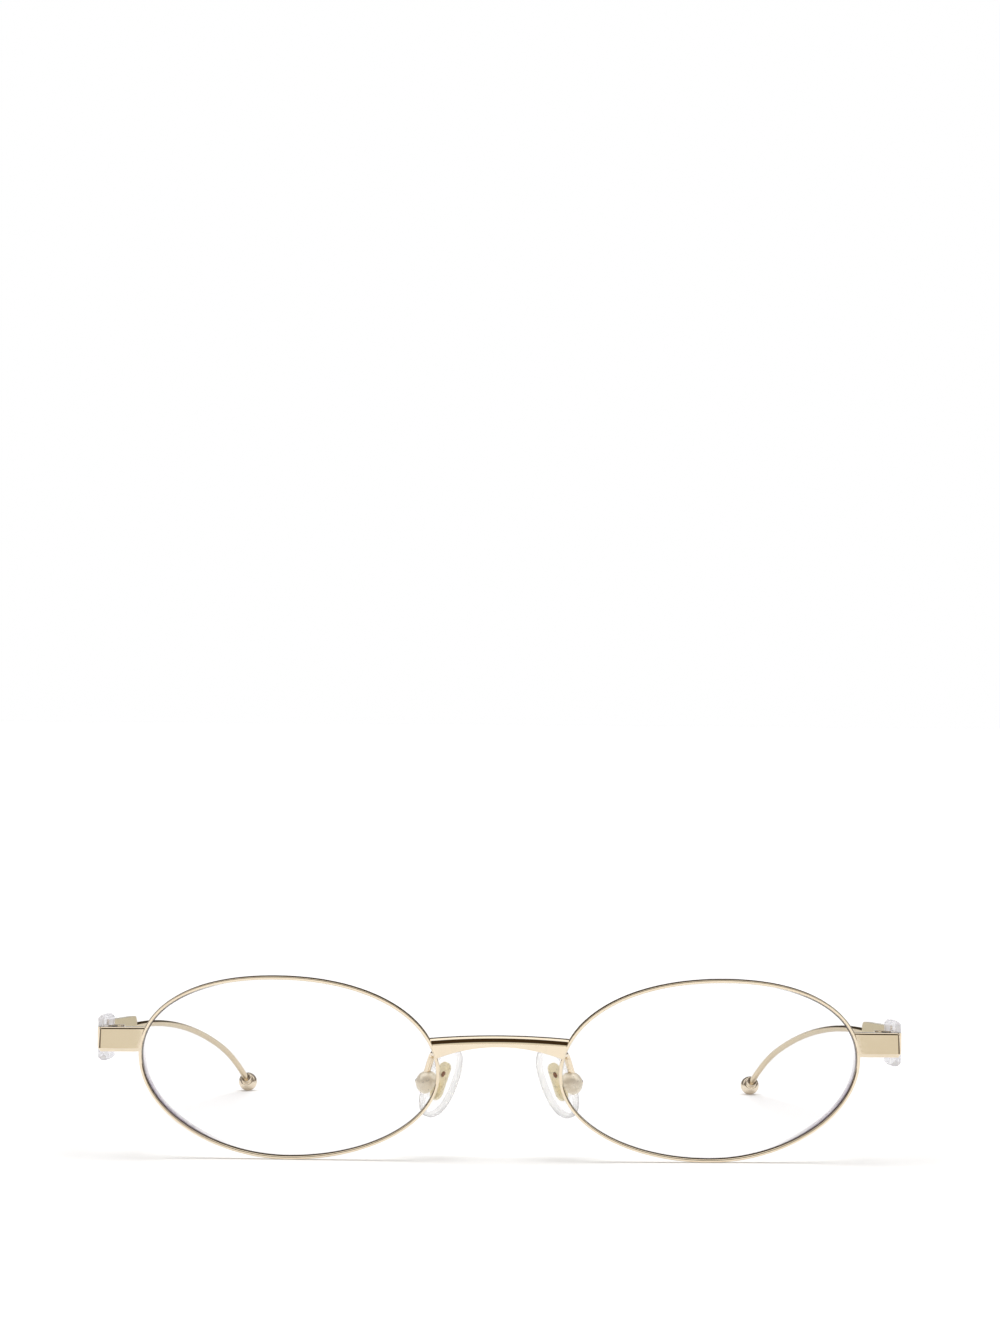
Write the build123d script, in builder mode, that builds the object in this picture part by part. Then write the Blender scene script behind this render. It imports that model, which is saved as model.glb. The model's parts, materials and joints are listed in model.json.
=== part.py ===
from build123d import *
import os
from math import atan2, cos, degrees, hypot, radians, sin, sqrt

# Oval wire eyeglasses, in millimetres. +Z is up and the front looks along -Y.
# The wearer's left is +X. The pieces of that side are modelled, and their twins
# are mirrored across the middle. The origin is the middle of the box round the
# open glasses, on the surface that their rims and tip beads rest on.

os.makedirs("parts", exist_ok=True)

# Whole frame
overall_depth = 138.0  # front of the lenses to the back of the tip beads
lens_spacing = 72.3  # middle of one lens to the middle of the other
front_tilt = 5.0  # degrees that the top of the front leans forward
front_wrap = 3.0  # degrees that each lens turns back towards its temple
cut_over = 1.0  # how far a cutting shape runs past the metal

# Rim
rim_width = 51.75
rim_height = 31.65
rim_curve_radius = 160.0  # front curve that rim and lens share
rim_thickness = 0.78
rim_depth = 1.7
rim_rounding = 0.24
rim_split = 0.08
split_height = 19.7
groove_depth = 0.32
groove_width = 0.8

# Shape of the oval, as shares of its half width and half height
top_shift_share = 0.077
bottom_shift_share = 0.007
outer_lift_share = 0.121
nose_drop_share = 0.066
top_outer_pull_share = 0.662
top_nose_pull_share = 0.639
bottom_outer_pull_share = 0.503
bottom_nose_pull_share = 0.584
outer_top_pull_share = 0.547
outer_bottom_pull_share = 0.561
nose_top_pull_share = 0.521
nose_bottom_pull_share = 0.54

# Lens
lens_thickness = 1.4
lens_clearance = 0.04

# Bridge
bridge_top = 21.0  # height of its top edge at the rims
bridge_crown = 0.65  # how far the top edge rises in the middle
bridge_end_height = 4.2
bridge_middle_height = 1.95
bridge_overlap = 2.325  # how far each end runs past the rim's edge, before the rim trims it
bridge_thickness = 1.8
bridge_bow = 0.7  # how far the middle stands forward of the ends
bridge_top_rounding = 0.7
bridge_edge_rounding = 0.2

# End piece
end_height = 20.35  # height of its middle
end_tall = 4.2
end_reach = 6.775  # outer face outwards from the rim's edge
end_proud = 0.8  # how far its face stands in front of the rim
end_plate = 1.3
end_leg = 1.5
end_corner_radius = 0.8
end_inner_radius = 0.4
end_bevel = 0.45
end_wedge = 0.9  # how far its face stands off the rim, past a sloping wedge
end_gap = 0.3  # between the end piece and the temple bar when open
leg_short = 0.2  # how far in front of the hinge pin's middle the leg ends

# Closing block
block_reach = 3.5  # how far it reaches outwards from the rim
block_depth = 2.2
block_top_height = 2.6
block_bottom_height = 1.2
block_rounding = 0.25
block_gap = 0.05  # between the lower block and the end piece

# Screws
screw_slot_width = 0.28
screw_slot_depth = 0.22
seat_clearance = 0.02
head_clearance = 0.05
lock_screw_diameter = 1.0
lock_head_diameter = 1.6
lock_head_height = 0.45
lock_screw_top_share = 0.7  # how much of the upper block the thread fills
hinge_screw_diameter = 1.2
hinge_head_diameter = 1.8
hinge_head_height = 0.5

# Hinge
hinge_setback = 8.6  # pin behind the front of the frame
hinge_inset = 3.1  # pin inwards of the end piece's outer face
knuckle_diameter = 2.4
knuckle_gap = 0.08
fixed_knuckles = 2  # on the end piece, with the temple's own between them
running_clearance = 0.05
hinge_web_share = 0.9  # depth of the fixed web, as a share of the knuckle's radius

# Temple
temple_inset = 0.1  # bar's middle line inwards of the end piece's outer face
temple_slope = 8.4  # degrees that the temple turns inwards
bar_length = 26.0
bar_root_tall = 3.4  # inside the crystal block
bar_tall = 5.0  # behind the crystal block
bar_end_tall = 3.6
bar_thickness = 1.1
bar_top_rounding = 1.7
bar_bottom_rounding = 1.1
crystal_start = 1.85
crystal_length = 5.0
crystal_tall = 7.75
crystal_drop = 0.3  # its middle below the bar's middle line
crystal_thickness = 1.9
crystal_bevel = 0.55
crystal_end_bevel = 0.2
crystal_clearance = 0.04
block_pin_diameter = 1.0
block_pin_inset = 1.3
leaf_gap = 0.3  # between the hinge leaf and the crystal block
shoulder_gap = 0.1  # between the crystal block and the bar's shoulder

# Temple wire and tip bead
wire_diameter = 1.15
wire_start_slope = 1.2
wire_long_radius = 370.0
wire_long_sweep = 11.8
tip_diameter = 3.6
collar_diameter = 1.9
collar_length = 0.7
socket_clearance = 0.02

# Pad cup and arm
cup_inset = 2.025  # middle of the cup outwards from the rim's nose edge
cup_height = 13.05
cup_setback = 6.8
cup_diameter = 4.1
cup_wall = 0.45
pad_splay = 42.0  # degrees that the pad opens towards the face
pad_lean = 24.0  # degrees that the pad leans out at its foot
arm_diameter = 1.1
arm_root_height = 18.2
arm_setback = 5.5
arm_bend_radius = 1.5
arm_knee_reach = 0.8  # how far the knee stands outwards of the arm's root
arm_top_share = 0.75  # where the arm meets the cup, up from its middle, as a share of its radius
arm_dome_share = 0.45  # and out on the dome, as a share of the same radius

# Nose pad
pad_distance = 2.6  # cup's mouth to the middle of the pad
pad_rise = 1.3  # middle of the pad above the cup, along the pad
pad_tall = 13.2
pad_wide = 7.8
pad_thickness = 1.9
pad_rounding = 0.7
pad_hub_diameter = 3.4
pad_hub_height = 0.9
insert_tall = 6.9
insert_wide = 2.7
insert_thickness = 0.6
insert_hole_diameter = 1.1
insert_hole_rise = 1.2
insert_hole_shift = 0.45  # towards the front edge of the pad
insert_clearance = 0.03
tab_thickness = 1.0
tab_wide = 1.5
pad_pin_rise = 0.4  # pad screw above the cup's mouth
pad_screw_diameter = 0.7
pad_head_diameter = 1.2
pad_head_height = 0.35

# Places that follow from the sizes
frame_front = -overall_depth / 2
lens_offset = lens_spacing / 2
half_width = rim_width / 2
half_height = rim_height / 2
rim_edge = lens_offset + half_width
nose_edge = lens_offset - half_width
facing = cos(radians(front_tilt)) * cos(radians(front_wrap))
lens_front = frame_front + rim_curve_radius * (1 - facing)
rim_sag = rim_curve_radius - sqrt(rim_curve_radius**2 - half_height**2)
lens_height = half_height * cos(radians(front_tilt)) - rim_sag * sin(radians(front_tilt))
groove_reach = rim_thickness - groove_depth
prism_reach = rim_depth + rim_curve_radius - sqrt(rim_curve_radius**2 - half_width**2) + cut_over

lens_plane = Plane(
    origin=(lens_offset, lens_front, lens_height),
    x_dir=(cos(radians(front_wrap)), sin(radians(front_wrap)), 0),
    z_dir=(sin(radians(front_wrap)) * cos(radians(front_tilt)), -facing, -sin(radians(front_tilt))),
)
curve_centre = lens_plane.from_local_coords(Vector(0, 0, -rim_curve_radius))


def rim_front(across, height):
    """Depth of the shared front curve at a place on the oval, given in the frame."""
    drop = rim_curve_radius**2 - (across - curve_centre.X) ** 2 - (height - curve_centre.Z) ** 2
    return curve_centre.Y - sqrt(drop)


def oval_face(inset):
    """The oval in the lens plane, drawn in from the rim's outer edge."""
    wide = half_width - inset
    tall = half_height - inset
    top = Vector(top_shift_share * wide, tall)
    bottom = Vector(bottom_shift_share * wide, -tall)
    outer = Vector(wide, outer_lift_share * tall)
    nose = Vector(-wide, -nose_drop_share * tall)
    with BuildSketch(lens_plane) as oval:
        with BuildLine():
            Bezier(
                outer,
                outer + Vector(0, outer_top_pull_share * (top.Y - outer.Y)),
                top + Vector(top_outer_pull_share * (outer.X - top.X), 0),
                top,
            )
            Bezier(
                top,
                top - Vector(top_nose_pull_share * (top.X - nose.X), 0),
                nose + Vector(0, nose_top_pull_share * (top.Y - nose.Y)),
                nose,
            )
            Bezier(
                nose,
                nose - Vector(0, nose_bottom_pull_share * (nose.Y - bottom.Y)),
                bottom - Vector(bottom_nose_pull_share * (bottom.X - nose.X), 0),
                bottom,
            )
            Bezier(
                bottom,
                bottom + Vector(bottom_outer_pull_share * (outer.X - bottom.X), 0),
                outer - Vector(0, outer_bottom_pull_share * (outer.Y - bottom.Y)),
                outer,
            )
        make_face()
    return oval.sketch


def curved_oval(inset, front_gap, thickness):
    """An oval plate that follows the front curve, with its face set back by a gap."""
    with BuildPart() as plate:
        extrude(oval_face(inset), amount=prism_reach, both=True)
        with Locations(curve_centre):
            Sphere(rim_curve_radius - front_gap, mode=Mode.INTERSECT)
            Sphere(rim_curve_radius - front_gap - thickness, mode=Mode.SUBTRACT)
    return plate.part


def oval_prism(inset):
    """A straight oval plug that trims what meets the rim from outside."""
    with BuildPart() as prism:
        extrude(oval_face(inset), amount=end_proud + prism_reach, both=True)
    return prism.part


oval_plug = oval_prism(0)


def keep_pair(piece, name):
    """Write the left piece and its mirrored twin."""
    piece.part.label = f"{name}_left"
    export_step(piece.part, f"parts/{name}_left.step")
    with BuildPart() as twin:
        mirror(piece.part, about=Plane.YZ)
    twin.part.label = f"{name}_right"
    export_step(twin.part, f"parts/{name}_right.step")


# Rim: a grooved oval wire that follows the front curve, split at the end piece
rim_body = curved_oval(0, 0, rim_depth)
rim_groove = curved_oval(groove_reach, (rim_depth - groove_width) / 2, groove_width)

with BuildPart() as rim:
    add(rim_body)
    add(oval_prism(rim_thickness), mode=Mode.SUBTRACT)
    rim_edges = rim.faces().filter_by(GeomType.SPHERE).edges()
    fillet(rim_edges, rim_rounding)
    add(rim_groove, mode=Mode.SUBTRACT)
    with Locations((rim_edge, rim_front(rim_edge, split_height), split_height)):
        Box(2 * (rim_thickness + cut_over), 2 * (rim_depth + cut_over), rim_split, mode=Mode.SUBTRACT)
keep_pair(rim, "rim")

# Lens: a thin curved plate with a tongue that sits in the rim's groove
with BuildPart() as lens:
    add(curved_oval(rim_thickness + lens_clearance, (rim_depth - lens_thickness) / 2, lens_thickness))
    add(
        curved_oval(
            groove_reach + lens_clearance,
            (rim_depth - groove_width) / 2 + lens_clearance,
            groove_width - 2 * lens_clearance,
        )
    )
keep_pair(lens, "lens")

# Bridge: a bowed strip, arched below and rounded on top, trimmed by both rims
bridge_front = rim_front(nose_edge, bridge_top)
bridge_reach = nose_edge + bridge_overlap
bridge_bottom = bridge_top - bridge_end_height
bridge_arch = bridge_top + bridge_crown - bridge_middle_height

with BuildPart() as bridge:
    with BuildSketch(Plane.XZ.offset(bridge_bow + cut_over - bridge_front)):
        with BuildLine():
            ThreePointArc(
                (-bridge_reach, bridge_top), (0, bridge_top + bridge_crown), (bridge_reach, bridge_top)
            )
            Line((bridge_reach, bridge_top), (bridge_reach, bridge_bottom))
            ThreePointArc((bridge_reach, bridge_bottom), (0, bridge_arch), (-bridge_reach, bridge_bottom))
            Line((-bridge_reach, bridge_bottom), (-bridge_reach, bridge_top))
        make_face()
    extrude(amount=-(bridge_thickness + bridge_bow + 2 * cut_over))
    with BuildSketch(Plane.XY.offset(bridge_bottom - cut_over)):
        with BuildLine():
            ThreePointArc(
                (-bridge_reach, bridge_front), (0, bridge_front - bridge_bow), (bridge_reach, bridge_front)
            )
            Line((bridge_reach, bridge_front), (bridge_reach, bridge_front + bridge_thickness))
            ThreePointArc(
                (bridge_reach, bridge_front + bridge_thickness),
                (0, bridge_front + bridge_thickness - bridge_bow),
                (-bridge_reach, bridge_front + bridge_thickness),
            )
            Line((-bridge_reach, bridge_front + bridge_thickness), (-bridge_reach, bridge_front))
        make_face()
    extrude(amount=bridge_end_height + bridge_crown + 2 * cut_over, mode=Mode.INTERSECT)
    long_edges = bridge.edges().filter_by(lambda edge: edge.length > bridge_reach)
    front_edges = long_edges.sort_by(Axis.Y)[:2]
    fillet(front_edges.sort_by(Axis.Z)[-1], bridge_top_rounding)
    long_edges = bridge.edges().filter_by(lambda edge: edge.length > bridge_reach)
    fillet(long_edges.sort_by(Axis.Z)[:2], bridge_edge_rounding)
    add(oval_plug, mode=Mode.SUBTRACT)
    add(mirror(oval_plug, about=Plane.YZ, mode=Mode.PRIVATE), mode=Mode.SUBTRACT)
bridge.part.label = "bridge"
export_step(bridge.part, "parts/bridge.step")

# End piece: a bevelled plate beside the rim, a leg back to the hinge and two knuckles
end_front = rim_front(rim_edge, end_height) - end_proud
end_back = end_front + end_plate
hinge_y = frame_front + hinge_setback
end_outer = rim_edge + end_reach
hinge_x = end_outer - hinge_inset
leg_back = hinge_y - leg_short
end_bottom = end_height - end_tall / 2
knuckle_tall = (end_tall - 2 * knuckle_gap) / (fixed_knuckles + 1)
knuckle_radius = knuckle_diameter / 2
web_depth = hinge_web_share * knuckle_radius

with BuildPart() as end_piece:
    with BuildSketch(Plane.XY.offset(end_bottom)) as end_plan:
        with BuildLine():
            Polyline(
                (rim_edge - rim_thickness, end_front + end_proud),
                (rim_edge + end_wedge, end_front),
                (end_outer, end_front),
                (end_outer, leg_back),
                (end_outer - end_leg, leg_back),
                (end_outer - end_leg, end_back),
                (rim_edge - rim_thickness, end_back),
                close=True,
            )
        make_face()
        fillet(end_plan.vertices().sort_by_distance((end_outer, end_front))[0], end_corner_radius)
        fillet(end_plan.vertices().sort_by_distance((end_outer - end_leg, end_back))[0], end_inner_radius)
    extrude(amount=end_tall)
    face_edges = end_piece.faces().sort_by(Axis.Y)[0].edges()
    chamfer(face_edges.filter_by(Axis.X), end_bevel)
    add(oval_plug, mode=Mode.SUBTRACT)
    for knuckle_bottom in (end_bottom, end_bottom + end_tall - knuckle_tall):
        with BuildSketch(Plane.XY.offset(knuckle_bottom)):
            with Locations((hinge_x, hinge_y)):
                Circle(knuckle_radius)
            with Locations((hinge_x, leg_back)):
                Rectangle(hinge_inset - end_leg, web_depth, align=(Align.MIN, Align.MAX))
        extrude(amount=knuckle_tall)
    with Locations((hinge_x, hinge_y, end_bottom + end_tall)):
        CounterBoreHole(
            hinge_screw_diameter / 2 + seat_clearance,
            hinge_head_diameter / 2 + head_clearance,
            hinge_head_height + seat_clearance,
        )
keep_pair(end_piece, "end_piece")

# Closing blocks: two halves that clamp the split rim round its lens
block_outer = rim_edge + block_reach
lock_x = rim_edge + block_reach / 2
lock_y = end_back + block_depth / 2
split_top = split_height + rim_split / 2
split_bottom = split_height - rim_split / 2


def closing_block(bottom, tall, front_gap):
    """One half of the closing block, before its screw hole."""
    with BuildPart() as block:
        with BuildSketch(Plane.XY.offset(bottom)):
            with BuildLine():
                Polyline(
                    (rim_edge - rim_thickness, end_back + front_gap),
                    (block_outer, end_back + front_gap),
                    (block_outer, end_back + block_depth),
                    (rim_edge - rim_thickness, end_back + block_depth),
                    close=True,
                )
            make_face()
        extrude(amount=tall)
        outer_edges = block.edges().filter_by(Axis.Z).sort_by(Axis.X)[-2:]
        fillet(outer_edges, block_rounding)
        add(oval_plug, mode=Mode.SUBTRACT)
    return block.part


thread_tall = lock_screw_top_share * block_top_height

with BuildPart() as block_upper:
    add(closing_block(split_top, block_top_height, 0))
    with Locations((lock_x, lock_y, split_top)):
        Cylinder(
            lock_screw_diameter / 2 + seat_clearance,
            thread_tall + seat_clearance,
            align=(Align.CENTER, Align.CENTER, Align.MIN),
            mode=Mode.SUBTRACT,
        )
keep_pair(block_upper, "closing_block_upper")

lock_bottom = split_bottom - block_bottom_height

with BuildPart() as block_lower:
    add(closing_block(lock_bottom, block_bottom_height, block_gap))
    with BuildSketch(Plane.XY.offset(lock_bottom)):
        with Locations((lock_x, lock_y)):
            Circle(lock_screw_diameter / 2 + seat_clearance)
    extrude(amount=block_bottom_height, mode=Mode.SUBTRACT)
    with BuildSketch(Plane.XY.offset(lock_bottom)):
        with Locations((lock_x, lock_y)):
            Circle(lock_head_diameter / 2 + head_clearance)
    extrude(amount=lock_head_height + seat_clearance, mode=Mode.SUBTRACT)
keep_pair(block_lower, "closing_block_lower")


def slotted_screw(seat, shaft_diameter, shaft_length, head_diameter, head_height):
    """A screw on a seat plane: the head stands up from it and the shaft goes down."""
    with BuildPart() as screw:
        with BuildSketch(seat):
            Circle(head_diameter / 2)
        extrude(amount=head_height)
        with BuildSketch(seat):
            Circle(shaft_diameter / 2)
        extrude(amount=-shaft_length)
        with BuildSketch(seat.offset(head_height)):
            Rectangle(head_diameter + cut_over, screw_slot_width)
        extrude(amount=-screw_slot_depth, mode=Mode.SUBTRACT)
    return screw


lock_seat = Plane(
    origin=(lock_x, lock_y, lock_bottom + lock_head_height), x_dir=(1, 0, 0), z_dir=(0, 0, -1)
)
lock_length = block_bottom_height - lock_head_height + rim_split + thread_tall
lock_screw = slotted_screw(
    lock_seat, lock_screw_diameter, lock_length, lock_head_diameter, lock_head_height
)
keep_pair(lock_screw, "closing_screw")

hinge_seat = Plane(
    origin=(hinge_x, hinge_y, end_bottom + end_tall - hinge_head_height), x_dir=(1, 0, 0), z_dir=(0, 0, 1)
)
hinge_screw = slotted_screw(
    hinge_seat,
    hinge_screw_diameter,
    end_tall - hinge_head_height,
    hinge_head_diameter,
    hinge_head_height,
)
keep_pair(hinge_screw, "hinge_screw")

# Temple: a flat bar whose middle line starts behind the end piece and slopes inwards
slope = radians(temple_slope)
bar_x = end_outer - temple_inset
bar_y = leg_back + end_gap
bar_height = end_height
temple_side = Plane(origin=(bar_x, bar_y, 0), x_dir=(-sin(slope), cos(slope), 0), z_dir=(cos(slope), sin(slope), 0))
temple_plan = Plane(origin=(bar_x, bar_y, 0), x_dir=(-sin(slope), cos(slope), 0), z_dir=(0, 0, 1))
crystal_end = crystal_start + crystal_length
crystal_height = bar_height - crystal_drop
pin_rows = [crystal_start + block_pin_inset, crystal_end - block_pin_inset]
shoulder = crystal_end + shoulder_gap

with BuildPart() as temple_bar:
    with BuildSketch(temple_side) as bar_side:
        with BuildLine():
            Polyline(
                (0, bar_height - bar_root_tall / 2),
                (shoulder, bar_height - bar_root_tall / 2),
                (shoulder, bar_height - bar_tall / 2),
                (bar_length, bar_height - bar_end_tall / 2),
                (bar_length, bar_height + bar_end_tall / 2),
                (shoulder, bar_height + bar_tall / 2),
                (shoulder, bar_height + bar_root_tall / 2),
                (0, bar_height + bar_root_tall / 2),
                close=True,
            )
        make_face()
        far_corners = bar_side.vertices().sort_by(Axis.X)[-2:]
        fillet(far_corners.sort_by(Axis.Y)[-1], bar_top_rounding)
        fillet(far_corners.sort_by(Axis.Y)[0], bar_bottom_rounding)
    extrude(amount=bar_thickness / 2, both=True)
    with BuildSketch(temple_side):
        with Locations(*[(row, bar_height) for row in pin_rows]):
            Circle(block_pin_diameter / 2 + seat_clearance)
    extrude(amount=bar_thickness, both=True, mode=Mode.SUBTRACT)
keep_pair(temple_bar, "temple_bar")

with BuildPart() as crystal:
    with BuildSketch(temple_side):
        with Locations((crystal_start, crystal_height)):
            Rectangle(crystal_length, crystal_tall, align=(Align.MIN, Align.CENTER))
    extrude(amount=crystal_thickness / 2, both=True)
    chamfer(crystal.edges().filter_by(Axis(temple_side.origin, temple_side.x_dir)), crystal_bevel)
    ends = crystal.faces().sort_by(Axis.Y)
    chamfer(ends[0].edges() + ends[-1].edges(), crystal_end_bevel)
    with BuildSketch(temple_side):
        with Locations((0, bar_height)):
            Rectangle(
                bar_length, bar_root_tall + 2 * crystal_clearance, align=(Align.MIN, Align.CENTER)
            )
    extrude(amount=bar_thickness / 2 + crystal_clearance, both=True, mode=Mode.SUBTRACT)
    with BuildSketch(temple_side):
        with Locations(*[(row, bar_height) for row in pin_rows]):
            Circle(block_pin_diameter / 2 + seat_clearance)
    extrude(amount=crystal_thickness, both=True, mode=Mode.SUBTRACT)
keep_pair(crystal, "crystal_block")

with BuildPart() as block_pins:
    with BuildSketch(temple_side):
        with Locations(*[(row, bar_height) for row in pin_rows]):
            Circle(block_pin_diameter / 2)
    extrude(amount=crystal_thickness / 2, both=True)
keep_pair(block_pins, "crystal_pins")

# Temple hinge: one knuckle between the end piece's two, and a leaf on the bar
middle_bottom = end_height - knuckle_tall / 2
hinge_point = temple_plan.to_local_coords(Vector(hinge_x, hinge_y, 0))
leaf_length = crystal_start - leaf_gap

with BuildPart() as temple_hinge:
    with BuildSketch(temple_plan.offset(middle_bottom)):
        with Locations((0, bar_thickness / 2)):
            Rectangle(leaf_length, hinge_point.Y - bar_thickness / 2, align=(Align.MIN, Align.MIN))
        with Locations((hinge_point.X, hinge_point.Y)):
            Circle(knuckle_radius)
            Circle(hinge_screw_diameter / 2 + running_clearance, mode=Mode.SUBTRACT)
    extrude(amount=knuckle_tall)
keep_pair(temple_hinge, "temple_hinge")

# Temple wire: one long gentle arc, then a tighter one down to the tip bead
tip_radius = tip_diameter / 2
tip_along = (overall_depth / 2 - tip_radius - bar_y) / cos(slope)
tip_middle = temple_side.from_local_coords(Vector(tip_along, tip_radius))
start_fall = radians(wire_start_slope)
end_fall = radians(wire_start_slope + wire_long_sweep)
bend_along = bar_length + wire_long_radius * (sin(end_fall) - sin(start_fall))
bend_height = bar_height - wire_long_radius * (cos(start_fall) - cos(end_fall))
half_turn = atan2(bend_height - tip_radius, tip_along - bend_along) - end_fall
wire_short_radius = hypot(tip_along - bend_along, bend_height - tip_radius) / (2 * sin(half_turn))

with BuildLine(temple_side) as wire_path:
    JernArc(
        (bar_length, bar_height),
        (cos(start_fall), -sin(start_fall)),
        wire_long_radius,
        -wire_long_sweep,
    )
    JernArc(
        (bend_along, bend_height),
        (cos(end_fall), -sin(end_fall)),
        wire_short_radius,
        -degrees(2 * half_turn),
    )


def wire_tube(diameter):
    """A round tube along the temple wire's path."""
    with BuildPart() as tube:
        with BuildSketch(Plane(origin=wire_path.line @ 0, z_dir=wire_path.line % 0)):
            Circle(diameter / 2)
        sweep(path=wire_path.line)
    return tube.part


with BuildPart() as temple_wire:
    add(wire_tube(wire_diameter))
    add(temple_bar.part, mode=Mode.SUBTRACT)
keep_pair(temple_wire, "temple_wire")

with BuildPart() as tip_bead:
    with Locations(tip_middle):
        Sphere(tip_radius)
    with BuildSketch(Plane(origin=tip_middle, z_dir=-(wire_path.line % 1))):
        Circle(collar_diameter / 2)
    extrude(amount=tip_radius + collar_length)
    add(wire_tube(wire_diameter + 2 * socket_clearance), mode=Mode.SUBTRACT)
keep_pair(tip_bead, "tip_bead")

# Pad cup: a small open half ball that faces the pad, on its own slanted plane
splay = radians(pad_splay)
lean = radians(pad_lean)
cup_offset = nose_edge + cup_inset
cup_y = frame_front + cup_setback
cup_plane = Plane(
    origin=(cup_offset, cup_y, cup_height),
    x_dir=(sin(splay), cos(splay), 0),
    z_dir=(cos(splay) * cos(lean), -sin(splay) * cos(lean), sin(lean)),
)
cup_radius = cup_diameter / 2
pin_plane = Plane(
    origin=cup_plane.from_local_coords(Vector(0, 0, pad_pin_rise)),
    x_dir=cup_plane.y_dir,
    z_dir=cup_plane.x_dir,
)
pin_inner = sqrt((cup_radius - cup_wall) ** 2 - pad_pin_rise**2)
pin_outer = sqrt(cup_radius**2 - pad_pin_rise**2)
pin_front = (pin_inner + pin_outer) / 2

with BuildPart() as pad_cup:
    with Locations(cup_plane.location):
        Sphere(cup_radius, arc_size1=0, align=(Align.CENTER, Align.CENTER, Align.MIN))
        Sphere(cup_radius - cup_wall, mode=Mode.SUBTRACT)
    with BuildSketch(pin_plane.offset(-pin_front)):
        Circle(pad_screw_diameter / 2 + seat_clearance)
    extrude(amount=pin_front + cup_radius, mode=Mode.SUBTRACT)
    with BuildSketch(pin_plane.offset(pin_outer - cup_wall / 2)):
        Circle(pad_head_diameter / 2 + head_clearance)
    extrude(amount=cup_radius, mode=Mode.SUBTRACT)
keep_pair(pad_cup, "pad_cup")

pad_screw = slotted_screw(
    pin_plane.offset(pin_outer - cup_wall / 2 + seat_clearance),
    pad_screw_diameter,
    pin_front + pin_outer - cup_wall / 2,
    pad_head_diameter,
    pad_head_height,
)
keep_pair(pad_screw, "pad_screw")

# Pad arm: a bent wire from the back of the rim down to the top of the cup
arm_x = nose_edge + rim_thickness / 2
arm_root = Vector(arm_x, rim_front(arm_x, arm_root_height) + rim_depth / 2, arm_root_height)
arm_knee = Vector(arm_x + arm_knee_reach, frame_front + arm_setback, arm_root_height)
arm_foot = cup_plane.from_local_coords(Vector(0, arm_top_share * cup_radius, arm_dome_share * cup_radius))

with BuildLine() as arm_path:
    FilletPolyline(arm_root, arm_knee, arm_foot, radius=arm_bend_radius)

with BuildPart() as pad_arm:
    with BuildSketch(Plane(origin=arm_path.line @ 0, z_dir=arm_path.line % 0)):
        Circle(arm_diameter / 2)
    sweep(path=arm_path.line)
    add(rim_body, mode=Mode.SUBTRACT)
    add(bridge.part, mode=Mode.SUBTRACT)
    with Locations(cup_plane.location):
        Sphere(cup_radius, mode=Mode.SUBTRACT)
keep_pair(pad_arm, "pad_arm")

# Pad insert: a small plate with a hole, and the tab that rocks on the pad screw
pad_middle = Plane(
    origin=cup_plane.from_local_coords(Vector(0, pad_rise, -pad_distance)),
    x_dir=cup_plane.x_dir,
    z_dir=cup_plane.z_dir,
)
tab_plane = Plane(origin=cup_plane.origin, x_dir=cup_plane.y_dir, z_dir=cup_plane.x_dir)


def insert_body(room):
    """The insert's plate and tab, grown by some room on every side."""
    with BuildPart() as body:
        with BuildSketch(pad_middle):
            SlotOverall(insert_tall + 2 * room, insert_wide + 2 * room, rotation=90)
        extrude(amount=insert_thickness / 2 + room, both=True)
        with BuildSketch(tab_plane):
            with Locations((0, pad_pin_rise)):
                Rectangle(
                    tab_wide + 2 * room, pad_distance + pad_pin_rise, align=(Align.CENTER, Align.MAX)
                )
                Circle(tab_wide / 2 + room)
        extrude(amount=tab_thickness / 2 + room, both=True)
    return body.part


with BuildPart() as pad_insert:
    add(insert_body(0))
    with BuildSketch(pad_middle):
        with Locations((-insert_hole_shift, insert_hole_rise)):
            Circle(insert_hole_diameter / 2)
    extrude(amount=insert_thickness, both=True, mode=Mode.SUBTRACT)
    with BuildSketch(pin_plane):
        Circle(pad_screw_diameter / 2 + running_clearance)
    extrude(amount=tab_thickness, both=True, mode=Mode.SUBTRACT)
keep_pair(pad_insert, "pad_insert")

# Nose pad: a soft rounded oval round the insert, with a low hub at the tab
with BuildPart() as nose_pad:
    with BuildSketch(pad_middle):
        Ellipse(pad_wide / 2, pad_tall / 2)
    extrude(amount=pad_thickness / 2, both=True)
    fillet(nose_pad.edges(), pad_rounding)
    with BuildSketch(pad_middle):
        with Locations((0, -pad_rise)):
            Circle(pad_hub_diameter / 2)
    extrude(amount=pad_thickness / 2 + pad_hub_height)
    add(insert_body(insert_clearance), mode=Mode.SUBTRACT)
keep_pair(nose_pad, "nose_pad")
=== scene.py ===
import json
from math import asin, atan2, copysign, cos, hypot, pi, radians, sin, sqrt, tan

import bmesh
import bpy
from mathutils import Matrix, Vector

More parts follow.
